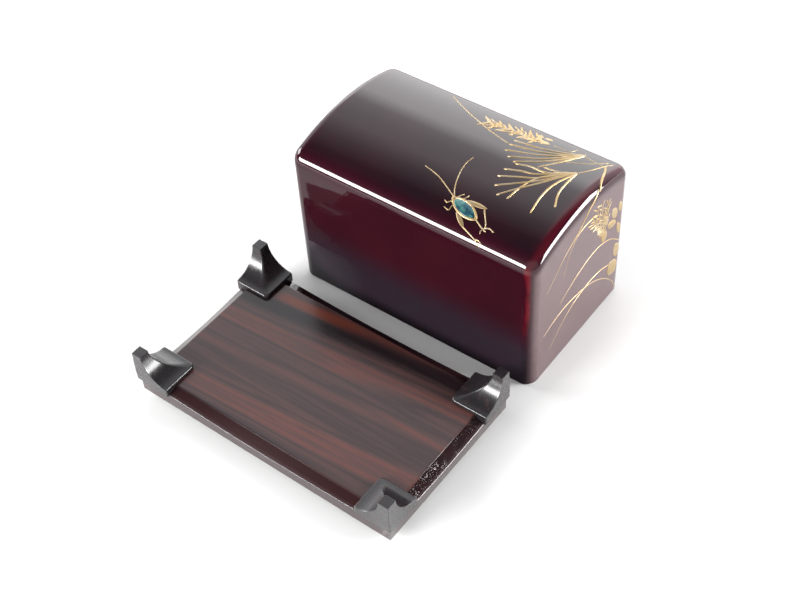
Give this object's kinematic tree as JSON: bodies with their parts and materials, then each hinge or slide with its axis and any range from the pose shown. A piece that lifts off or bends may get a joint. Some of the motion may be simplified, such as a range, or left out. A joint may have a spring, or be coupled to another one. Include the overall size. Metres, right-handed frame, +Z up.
{
  "type": "incense box",
  "caption": "Lacquered incense box: a deep hollow cover with a vaulted roof and shell inlay, and its footed base lying feet up beside it.",
  "frame": {"origin": "on the table, under the middle of the box that bounds the cover and the base lying in front of it", "axes": "+Z up; +X along the cover's length, towards the end that carries the drawn stems; +Y from the base towards the cover's back"},
  "size_m": [0.0882, 0.1108, 0.0509],
  "materials": {
    "cover_lacquer": "polished translucent red-brown lacquer over a thin wooden core, worn to clear red along the edges",
    "shell": "polished blue-green shell",
    "board_lacquer": "long-grained dark wood under thin polished lacquer, dusty in the bevels",
    "foot_lacquer": "near-black polished lacquer over wood",
    "gold": "sprinkled gold powder on raised lacquer lines, softly burnished"
  },
  "bodies": {
    "root": {"cover": "cover_lacquer", "shell_oval": "shell", "base_board": "board_lacquer", "foot_near_left": "foot_lacquer", "foot_near_right": "foot_lacquer", "foot_far_left": "foot_lacquer", "foot_far_right": "foot_lacquer"}
  },
  "joints": []
}
